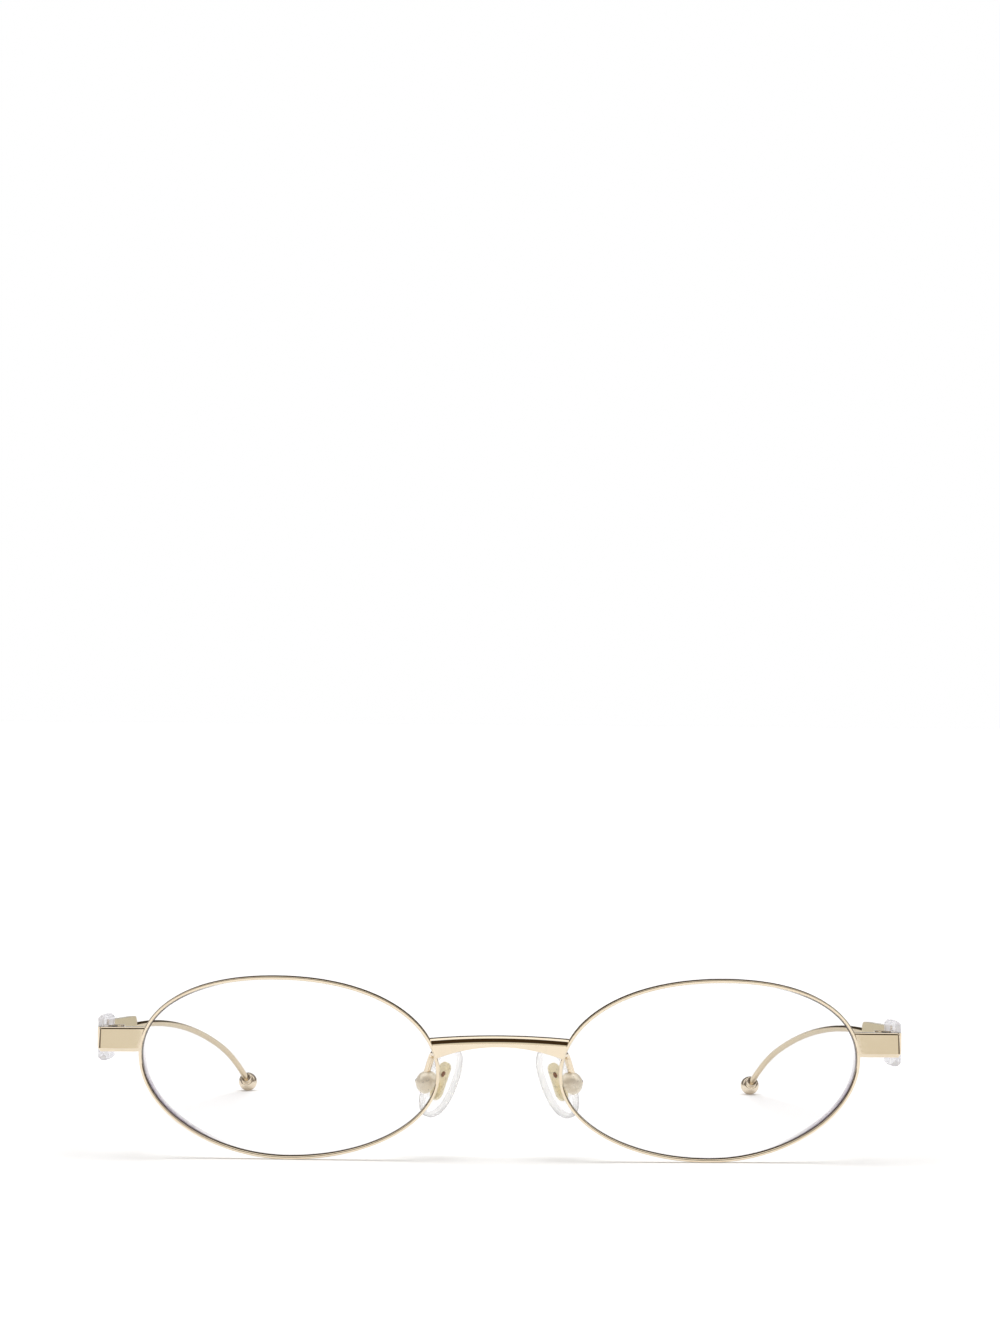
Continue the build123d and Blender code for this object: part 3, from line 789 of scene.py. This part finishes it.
# bridge
bridgeSizes = {
    "top": 21.0,
    "crown": 0.65,
    "endHeight": 4.2,
    "middleHeight": 1.95,
    "reach": 12.6,
    "thickness": 1.8,
    "bow": 0.7,
    "roundTall": 1.35,  # the rolled top edge, seen from the front
    "roundDeep": 1.2,
    "edgeRound": 0.2,
    "intoRim": 0.36,
    "endSetback": 0.1,
    "steps": 64,
    "rollSteps": 10,
    "sharp": 50.0,
}


def arcAt(x, reach, end, middle):
    # height at x of the arc through both ends and the middle
    rise = middle - end
    radius = (reach * reach + rise * rise) / (2 * abs(rise))
    drop = radius - sqrt(radius * radius - x * x)
    return middle - drop if rise > 0 else middle + drop


def rimEdge(height, quarters):
    # where the rim's outer edge is on some of the oval's quarters, at a height in the row frame
    best = None
    for run in [ovalRuns(0)[quarter] for quarter in quarters]:
        for step in range(rimSizes["edgeSteps"] + 1):
            place = alongRun(run, step / rimSizes["edgeSteps"])
            point = onCurve(place.x, place.y, rimSizes["depth"] / 2)
            if best is None or abs(point.z - height) < abs(best.z - height):
                best = point
    return best


def frontAt(x, z):
    # depth of the shared front curve at a place given in the row frame
    centre = fromLens(0, 0, -curveRadius)
    return centre.y - sqrt(curveRadius ** 2 - (x - centre.x) ** 2 - (z - centre.z) ** 2)


def bridgeOutline():
    # round the strip's section: which edge, distance from that edge, depth from the face
    b = bridgeSizes
    edge, wide, tall, deep = b["edgeRound"], b["thickness"], b["roundTall"], b["roundDeep"]
    turns = quarterTurns(b["rollSteps"])
    small = turns[::2]
    outline = [("high", tall * (1 - cos(turn)), deep * (1 - sin(turn))) for turn in turns]
    outline += [("low", edge * (1 - sin(turn)), edge * (1 - cos(turn))) for turn in small]
    outline += [("low", edge * (1 - cos(turn)), wide - edge * (1 - sin(turn))) for turn in small]
    outline += [("high", edge * (1 - sin(turn)), wide - edge * (1 - cos(turn))) for turn in small]
    return outline


def bridgeMesh():
    b = bridgeSizes
    reach = b["reach"]
    face = frontAt(halfNose, b["top"])
    arch = b["top"] + b["crown"] - b["middleHeight"]
    outline = bridgeOutline()

    def heightAt(kind, drop, x):
        if kind == "high":
            return arcAt(x, reach, b["top"], b["top"] + b["crown"]) - drop
        return arcAt(x, reach, b["top"] - b["endHeight"], arch) + drop

    ends = [rimEdge(heightAt(kind, drop, halfNose), (1, 2)).x + b["intoRim"] for kind, drop, _ in outline]
    rings = []
    for step in range(b["steps"] + 1):
        share = 2 * step / b["steps"] - 1
        ring = []
        for end, (kind, drop, deep) in zip(ends, outline):
            x = share * end
            y = arcAt(x, reach, face + b["endSetback"], face - b["bow"]) + deep
            ring.append(Vector((x, y, heightAt(kind, drop, x))))
        rings.append(ring)
    return loftMesh("bridge", rings)


bridge = newPiece("bridgeStrip", bridgeMesh())
bridge.data.set_sharp_from_angle(angle=radians(bridgeSizes["sharp"]))
evenNormals(bridge)
keep(bridge, "front", "gold", gold, "bridge")
print("bridge made")

# end pieces, closing blocks and screws
plateSizes = {
    "rimX": 62.025,  # the rim's outer edge beside the plate
    "rimY": -65.022,
    "start": 0.2,  # how far its face stands off the rim where the two meet
    "proud": 0.8,
    "wedge": 0.9,
    "reach": 6.775,
    "plate": 1.3,
    "leg": 1.5,
    "legY": -60.6,
    "corner": 0.8,
    "innerCorner": 0.4,
    "height": 20.35,
    "tall": 4.2,
    "rollTall": 0.46,  # the rolled top edge
    "rollDeep": 0.42,
    "bevelTall": 0.58,  # along the foot
    "bevelDeep": 0.42,
    "leanBack": 4.0,  # degrees that its face leans back
    "edgeRound": 0.06,
    "intoRim": 0.36,
    "cornerSteps": 10,
    "rollSteps": 10,
    "sharp": 25.0,
    "knuckleX": 67.29,  # the knuckles lie inwards of this and behind the next
    "knuckleY": -63.0,
}


def plateOutline():
    # round the plate's section: from which side, how deep from that side, and how high
    p = plateSizes
    low, high = p["height"] - p["tall"] / 2, p["height"] + p["tall"] / 2
    top, foot, edge = high - p["rollTall"], low + p["bevelTall"], p["edgeRound"]
    lean = (top - foot) * tan(radians(p["leanBack"]))
    outline = []
    for turn in quarterTurns(p["rollSteps"]):
        outline.append((0, lean + p["rollDeep"] * (1 - sin(turn)), top + p["rollTall"] * cos(turn)))
    outline += [(0, 0.0, foot), (0, p["bevelDeep"], low)]
    outline += [(1, edge, low), (1, 0.0, low + edge), (1, 0.0, high - edge), (1, edge, high)]
    return outline


def plateStations():
    # along the plate: outer place and the way in from it, inner place and the way out from it
    p = plateSizes
    outerX, face = p["rimX"] + p["reach"], p["rimY"] - p["proud"]
    innerX, back = outerX - p["leg"], face + p["plate"]
    wedgeX = p["rimX"] + p["wedge"]
    inwards, outwards = Vector((0, 1)), Vector((0, -1))
    stations = [(Vector((wedgeX, face)), inwards, Vector((wedgeX, back)), outwards)]
    outerMiddle = Vector((outerX - p["corner"], face + p["corner"]))
    innerMiddle = Vector((innerX - p["innerCorner"], back + p["innerCorner"]))
    for turn in quarterTurns(p["cornerSteps"]):
        way = Vector((sin(turn), -cos(turn)))
        stations.append((outerMiddle + way * p["corner"], -way, innerMiddle + way * p["innerCorner"], way))
    stations.append((Vector((outerX, p["legY"])), -way, Vector((innerX, p["legY"])), way))
    return stations


def plateMesh():
    p = plateSizes
    outline = plateOutline()
    first = []
    for side, deep, height in outline:
        x = rimEdge(height, (0, 3)).x - p["intoRim"]
        back = p["rimY"] - p["proud"] + p["plate"] - deep
        first.append(Vector((x, back if side else p["rimY"] - p["start"] + deep, height)))
    rings = [first]
    for outer, inwards, inner, outwards in plateStations():
        ring = []
        for side, deep, height in outline:
            place = inner + outwards * deep if side else outer + inwards * deep
            ring.append(Vector((place.x, place.y, height)))
        rings.append(ring)
    return loftMesh("plate", rings)


plateShape = plateMesh()
plateShape.set_sharp_from_angle(angle=radians(plateSizes["sharp"]))
for side, sign in sides:
    plate = newPiece("endPlate_" + side, mirrored(plateShape, sign))
    evenNormals(plate)
    keep(plate, "front", "gold", gold, "end_piece_" + side)
    softCopy(
        "end_piece_" + side,
        "hingeKnuckles_" + side,
        "gold",
        gold,
        "knuckle",
        cuts=(
            ((0, plateSizes["knuckleY"], 0), (0, -1, 0)),
            ((sign * plateSizes["knuckleX"], 0, 0), (sign, 0, 0)),
        ),
    )
    for place in ("upper", "lower"):
        blockEnd = place + "_" + side
        softCopy("closing_block_" + blockEnd, "closingBlock_" + blockEnd, "gold", gold, "closingBlock")
    for screw in ("closing_screw_", "hinge_screw_", "pad_screw_"):
        softCopy(screw + side, screw.replace("_s", "S") + side, "screw_gold", screwGold, "screw")
print("end pieces, blocks and screws made")

# temples
templeSizes = {
    "slope": 8.4,
    "startX": 68.7,
    "startY": -60.3,
    "barLength": 26.0,
    "barHeight": 20.35,
    "wire": 1.15,
    "startSlope": 1.2,
    "longRadius": 370.0,
    "longSweep": 11.8,
    "intoBar": 1.0,
    "wireSteps": 160,
    "wireSides": 28,
}
beadSizes = {
    "ball": 3.6,
    "collar": 1.9,
    "collarLength": 0.7,
    "blend": 0.28,
    "blendShare": 0.9,  # how far along the collar the blend reaches, as a share of its width
    "endRound": 0.1,
    "mouthShare": 0.8,  # the collar's mouth, as a share of the wire that goes into it
    "mouthDepth": 0.02,
    "ballSteps": 32,
    "blendSteps": 8,
    "endSteps": 4,
    "sides": 64,
}

slope = radians(templeSizes["slope"])
templeAlong = Vector((-sin(slope), cos(slope), 0))
templeStart = Vector((templeSizes["startX"], templeSizes["startY"], 0))


def onTemple(along, height):
    return templeStart + templeAlong * along + Vector((0, 0, height))


def wireLine():
    # one long gentle arc, then a tighter one down to the bead; ends with its last direction
    t = templeSizes
    tip = beadSizes["ball"] / 2
    tipAlong = (frontSizes["depth"] / 2 - tip - t["startY"]) / cos(slope)
    first, last = radians(t["startSlope"]), radians(t["startSlope"] + t["longSweep"])
    bendAlong = t["barLength"] + t["longRadius"] * (sin(last) - sin(first))
    bendHeight = t["barHeight"] - t["longRadius"] * (cos(first) - cos(last))
    half = atan2(bendHeight - tip, tipAlong - bendAlong) - last
    radius = hypot(tipAlong - bendAlong, bendHeight - tip) / (2 * sin(half))
    points = [(t["barLength"] - t["intoBar"], t["barHeight"] + t["intoBar"] * sin(first))]
    steps = t["wireSteps"] // 2
    for step in range(steps + 1):
        fall = first + (last - first) * step / steps
        points.append(
            (
                t["barLength"] + t["longRadius"] * (sin(fall) - sin(first)),
                t["barHeight"] - t["longRadius"] * (cos(first) - cos(fall)),
            )
        )
    for step in range(1, steps + 1):
        fall = last + 2 * half * step / steps
        points.append(
            (bendAlong + radius * (sin(fall) - sin(last)), bendHeight - radius * (cos(last) - cos(fall)))
        )
    final = last + 2 * half
    return points, templeAlong * cos(final) - Vector((0, 0, sin(final)))


def beadMesh(centre, towardsWire):
    b = beadSizes
    ball, neck = b["ball"] / 2, b["collar"] / 2
    outline = []
    meet = asin((neck + b["blend"]) / ball)
    for step in range(b["ballSteps"] + 1):
        turn = pi - (pi - meet) * step / b["ballSteps"]
        outline.append((ball * sin(turn), ball * cos(turn)))
    foot = ball * cos(meet)
    rise = b["blend"] * b["blendShare"]
    for turn in quarterTurns(b["blendSteps"])[1:]:
        outline.append((neck + b["blend"] * (1 - sin(turn)), foot + rise * (1 - cos(turn))))
    end = ball + b["collarLength"]
    for turn in quarterTurns(b["endSteps"]):
        outline.append((neck - b["endRound"] * (1 - cos(turn)), end - b["endRound"] * (1 - sin(turn))))
    mouth = end - b["mouthDepth"]
    outline += [(templeSizes["wire"] / 2 * b["mouthShare"], mouth), (0, mouth)]
    return latheMesh("bead", outline, centre, towardsWire, b["sides"])


linePoints, lastDirection = wireLine()
wirePlaces = [onTemple(along, height) for along, height in linePoints]
wireMesh = roundWire(
    "wire", wirePlaces, templeSizes["wire"], templeSizes["wireSteps"], templeSizes["wireSides"]
)
roundBead = beadMesh(wirePlaces[-1], -lastDirection)
for side, sign in sides:
    body = side + "_temple"
    wire = newPiece("templeWire_" + side, mirrored(wireMesh, sign))
    keep(wire, body, "gold", wireGold, "temple_wire_" + side)
    keep(newPiece("tipBead_" + side, mirrored(roundBead, sign)), body, "gold", satinGold, "tip_bead_" + side)
    softCopy("temple_bar_" + side, "templeBar_" + side, "gold", brushedGold, "bar")
    softCopy("temple_hinge_" + side, "hingeLeaf_" + side, "gold", gold, "hingeLeaf")
    softCopy("crystal_block_" + side, "crystalBlock_" + side, "crystal", crystalClear, "crystal")
    softCopy("crystal_pins_" + side, "crystalPins_" + side, "screw_gold", screwGold, "screw")
print("temples made")

# nose pads, their inserts, cups and arms
padSizes = {
    "tall": 13.2,
    "wide": 7.8,
    "thick": 1.9,
    "squareness": 2.3,  # 2 is an ellipse
    "noseShare": 0.11,  # how much wider it is towards the nose at its top
    "crown": 7.0,  # higher is flatter in the middle
    "edgeFullness": 2.6,
    "wallStart": 0.88,  # share of the way out at which its side wall begins
    "wallPace": 3,  # its mark is full a third of the way on from there
    "rings": 26,
    "sides": 96,
    "hub": 3.4,
    "hubHeight": 0.9,
    "hubBlend": 0.35,
    "rise": 1.3,
    "distance": 2.6,
    "splay": 42.0,
    "lean": 24.0,
    "cupX": 12.3,
    "cupY": -62.2,
    "cupZ": 13.05,
}
# the dark disc in the insert's hole is painted shade
holeShadeSizes = {
    "across": 1.06,
    "thick": 0.5,
    "edgeRound": 0.12,
    "rise": 1.2,  # up from the insert's middle
    "shift": -0.45,  # towards the front edge of the pad
    "edgeSteps": 5,
    "sides": 32,
}
armSizes = {
    "wire": 1.1,
    "rootX": 10.665,
    "rootZ": 18.2,
    "kneeX": 11.465,
    "kneeY": -63.5,
    "bend": 1.5,
    "topShare": 0.75,  # where it meets the cup, as shares of the cup's radius
    "domeShare": 0.45,
    "cup": 4.1,
    "bendSteps": 24,
    "steps": 90,
    "sides": 24,
}

splay, lean = radians(padSizes["splay"]), radians(padSizes["lean"])
cupMiddle = Vector((padSizes["cupX"], padSizes["cupY"], padSizes["cupZ"]))
cupAcross = Vector((sin(splay), cos(splay), 0))
cupOut = Vector((cos(splay) * cos(lean), -sin(splay) * cos(lean), sin(lean)))
cupUp = cupOut.cross(cupAcross)


def onCup(x, y, z):
    return cupMiddle + cupAcross * x + cupUp * y + cupOut * z


def clamped(value):
    return min(max(value, 0.0), 1.0)


def padMesh():
    # a crowned oval, with a low hub on the side of the cup
    p = padSizes
    middle = onCup(0, p["rise"], -p["distance"])

    def ring(share, face):
        points = []
        swell = (1 - share ** p["crown"]) ** (1 / p["edgeFullness"])
        for step in range(p["sides"]):
            turn = 2 * pi * step / p["sides"]
            x, y = (copysign(abs(part) ** (2 / p["squareness"]), part) for part in (cos(turn), sin(turn)))
            if x < 0:
                x *= 1 + p["noseShare"] * (1 + y) / 2
            x *= p["wide"] / 2 * share
            y *= p["tall"] / 2 * share
            z = face * p["thick"] / 2 * swell
            if face > 0:
                reach = hypot(x, y + p["rise"])
                inside = clamped((p["hub"] / 2 + p["hubBlend"] - reach) / (2 * p["hubBlend"]))
                z += p["hubHeight"] * inside * inside * (3 - 2 * inside)
            points.append(middle + cupAcross * x + cupUp * y + cupOut * z)
        return points

    shares = [max(sin(turn), middleShare) for turn in quarterTurns(p["rings"])]
    shares += shares[-2::-1]
    rings = [ring(share, 1 if row <= p["rings"] else -1) for row, share in enumerate(shares)]
    walls = [clamped((share - p["wallStart"]) / (1 - p["wallStart"]) * p["wallPace"]) for share in shares]
    return loftMesh("pad", rings, kept=("wall", walls))


def holeShadeMesh():
    # a dark disc set in the insert's hole as painted shade
    g = holeShadeSizes
    middle = onCup(g["shift"], padSizes["rise"] + g["rise"], -padSizes["distance"])
    half, edge = g["across"] / 2, g["edgeRound"]
    top = g["thick"] / 2
    turns = quarterTurns(g["edgeSteps"])
    wall = [(half - edge * (1 - sin(turn)), top - edge * (1 - cos(turn))) for turn in turns]
    outline = [(0, top)] + wall + [(radius, -height) for radius, height in reversed(wall)]
    return latheMesh("holeShade", outline + [(0, -top)], middle, cupOut, g["sides"])


def armLine():
    # from inside the rim back to the knee, round it, and down into the cup
    a = armSizes
    root = Vector((a["rootX"], frontAt(a["rootX"], a["rootZ"]) + rimSizes["depth"] / 2, a["rootZ"]))
    knee = Vector((a["kneeX"], a["kneeY"], a["rootZ"]))
    foot = onCup(0, a["topShare"] * a["cup"] / 2, a["domeShare"] * a["cup"] / 2)
    back, down = (root - knee).normalized(), (foot - knee).normalized()
    half = back.angle(down) / 2
    middle = knee + (back + down).normalized() * a["bend"] / sin(half)
    start = knee + back * a["bend"] / sin(half) * cos(half)
    end = knee + down * a["bend"] / sin(half) * cos(half)
    first, last = (start - middle).normalized(), (end - middle).normalized()
    points = [root]
    for step in range(a["bendSteps"] + 1):
        points.append(middle + first.slerp(last, step / a["bendSteps"]) * a["bend"])
    points.append(foot)
    return points


armMesh = roundWire("arm", armLine(), armSizes["wire"], armSizes["steps"], armSizes["sides"])
padShape = padMesh()
holeShadeShape = holeShadeMesh()
for side, sign in sides:
    pad = keep(
        newPiece("softPad_" + side, mirrored(padShape, sign)),
        side + "_pad",
        "silicone",
        siliconeClear,
        "nose_pad_" + side,
    )
    softCopy("pad_insert_" + side, "padPlate_" + side, "pad_gold", padGold, "insert")
    # painted shade in the insert's hole
    keep(newPiece("holePlug_" + side, mirrored(holeShadeShape, sign)), side + "_pad", "pad_gold", holeShadeBrown)
    softCopy("pad_cup_" + side, "padCup_" + side, "gold", cupGold, "cup")
    keep(newPiece("padArm_" + side, mirrored(armMesh, sign)), "front", "gold", gold, "pad_arm_" + side)
print("nose pads and arms made")

# floor, light and camera
studio = {
    "floorSpan": 12.0,
    "floorTone": (0.87, 0.87, 0.88),
    "floorPale": (0.89, 0.89, 0.89),
    "floorGrain": 4.0,
    "floorRoughness": 0.9,
    "nearLift": 0.2,  # added to the floor under the softbox, for the camera
    "farLift": 0.70,  # and where the softbox doesn't reach
    "mirrorShare": 0.8,  # how much of that lift metal sees
    "softboxPower": 4.4,
    "softboxSpan": 0.7,
    "softboxPlace": (0.0, -0.08, 0.85),
}
tent = {
    "strip": (1.22, 1.22, 1.22),  # the bright strip overhead
    "front": (0.81, 0.78, 0.70),
    "aside": (0.14, 0.11, 0.085),
    "dark": (0.05, 0.03, 0.014),
    "back": (0.06, 0.045, 0.03),
    "floorEdge": (0.95, 0.95, 0.95),
    # up from the horizon in the middle plane, in half turns: 0 ahead, 1 behind
    "arch": (
        (0.0, "front"),
        (0.07, "front"),
        (0.115, "dark"),
        (0.395, "dark"),
        (0.43, "strip"),
        (0.645, "strip"),
        (0.68, "back"),
        (0.965, "back"),
        (0.98, "floorEdge"),
    ),
    # the cloth at the sides: where it comes in along X, and where it fades out along Z and Y
    "sideways": (0.74, 0.8),
    "low": (0.35, 0.6),
    "ahead": (-0.2, 0.3),
}
cameraSizes = {
    "distance": 821.0,  # in front of the lenses
    "height": 84.6,
    "across": -0.42,
    "focalPixels": 4815.0,
    "photoHeight": 1334.0,
    "sensor": 36.0,
    "roll": -0.45,
    "nearest": 10.0,
    "farthest": 50000.0,
}


def makeFloor():
    bm = bmesh.new()
    bmesh.ops.create_grid(bm, x_segments=1, y_segments=1, size=studio["floorSpan"] / 2)
    floor = newPiece("floor", freed(bm, bpy.data.meshes.new("floor")))
    material, tree, shader = newMaterial("paleFloor")
    cloudyColour(tree, shader, studio["floorGrain"], 1.0, studio["floorTone"], studio["floorPale"])
    shader.inputs["Roughness"].default_value = studio["floorRoughness"]
    shader.inputs["Specular IOR Level"].default_value = 0.0
    path = addNode(tree, "ShaderNodeLightPath").outputs
    mirrorSeen = mathNode(tree, "MULTIPLY", path["Is Glossy Ray"], studio["mirrorShare"])
    seen = mathNode(tree, "ADD", path["Is Camera Ray"], mirrorSeen)
    seen = mathNode(tree, "ADD", seen, path["Is Transmission Ray"])
    # the lift grows from near to far as the softbox's light on the floor fades
    place = addNode(tree, "ShaderNodeTexCoord").outputs["Object"]
    spread = addNode(tree, "ShaderNodeVectorMath", {0: place, 1: place}, {"operation": "DOT_PRODUCT"})
    square = studio["softboxPlace"][2] ** 2
    reached = mathNode(tree, "DIVIDE", square, mathNode(tree, "ADD", spread.outputs["Value"], square))
    reached = mathNode(tree, "POWER", reached, 2.0)
    reached = mathNode(tree, "MULTIPLY", reached, studio["farLift"] - studio["nearLift"])
    lift = mathNode(tree, "SUBTRACT", studio["farLift"], reached)
    glow = addNode(tree, "ShaderNodeEmission", {"Strength": mathNode(tree, "MULTIPLY", seen, lift)})
    both = addNode(tree, "ShaderNodeAddShader", {0: shader.outputs[0], 1: glow.outputs[0]})
    tree.links.new(both.outputs[0], tree.nodes["Material Output"].inputs["Surface"])
    floor.data.materials.append(material)


def makeWorld():
    # mirror rays see a tent: pale low in front, a bright strip overhead, dark cloth elsewhere;
    # the camera sees white
    world = bpy.data.worlds.new("whiteTent")
    bpy.context.scene.world = world
    world.use_nodes = True
    tree = world.node_tree
    backdrop = tree.nodes["Background"]
    way = addNode(
        tree, "ShaderNodeSeparateXYZ", {0: addNode(tree, "ShaderNodeTexCoord").outputs["Generated"]}
    ).outputs
    t = tent
    turn = mathNode(tree, "ARCTAN2", way["Z"], mathNode(tree, "MULTIPLY", way["Y"], -1.0))
    share = mathNode(tree, "DIVIDE", turn, pi)
    arch = ramp(tree, share, [(place, t[part]) for place, part in t["arch"]])
    sideways = mapped(tree, mathNode(tree, "ABSOLUTE", way["X"]), *t["sideways"])
    low = mapped(tree, way["Z"], *t["low"], 1.0, 0.0)
    ahead = mapped(tree, way["Y"], *t["ahead"], 1.0, 0.0)
    shade = mathNode(tree, "MULTIPLY", mathNode(tree, "MULTIPLY", sideways, low), ahead)
    darker = mixed(tree, shade, arch, (*t["aside"], 1))
    path = addNode(tree, "ShaderNodeLightPath").outputs
    seen = mathNode(tree, "ADD", path["Is Camera Ray"], path["Is Transmission Ray"])
    tree.links.new(mixed(tree, seen, darker, (1, 1, 1, 1)), backdrop.inputs["Color"])


def makeSoftbox():
    lamp = bpy.data.lights.new("softbox", "AREA")
    lamp.energy = studio["softboxPower"]
    lamp.size = studio["softboxSpan"]
    box = bpy.data.objects.new("softbox", lamp)
    box.location = studio["softboxPlace"]
    box.visible_glossy = False  # polished metal shows the tent instead
    bpy.context.scene.collection.objects.link(box)


def makeCamera():
    c = cameraSizes
    lensData = bpy.data.cameras.new("camera")
    lensData.sensor_fit = "VERTICAL"
    lensData.sensor_height = c["sensor"]
    lensData.lens = c["focalPixels"] * c["sensor"] / c["photoHeight"]
    lensData.clip_start = c["nearest"] * mm
    lensData.clip_end = c["farthest"] * mm
    camera = bpy.data.objects.new("camera", lensData)
    camera.location = Vector((c["across"], frontY - c["distance"], c["height"])) * mm
    camera.rotation_euler = (pi / 2, radians(c["roll"]), 0)
    bpy.context.scene.collection.objects.link(camera)
    bpy.context.scene.camera = camera


makeFloor()
makeWorld()
makeSoftbox()
makeCamera()
bpy.context.scene.view_settings.view_transform = "Standard"
print("studio made")
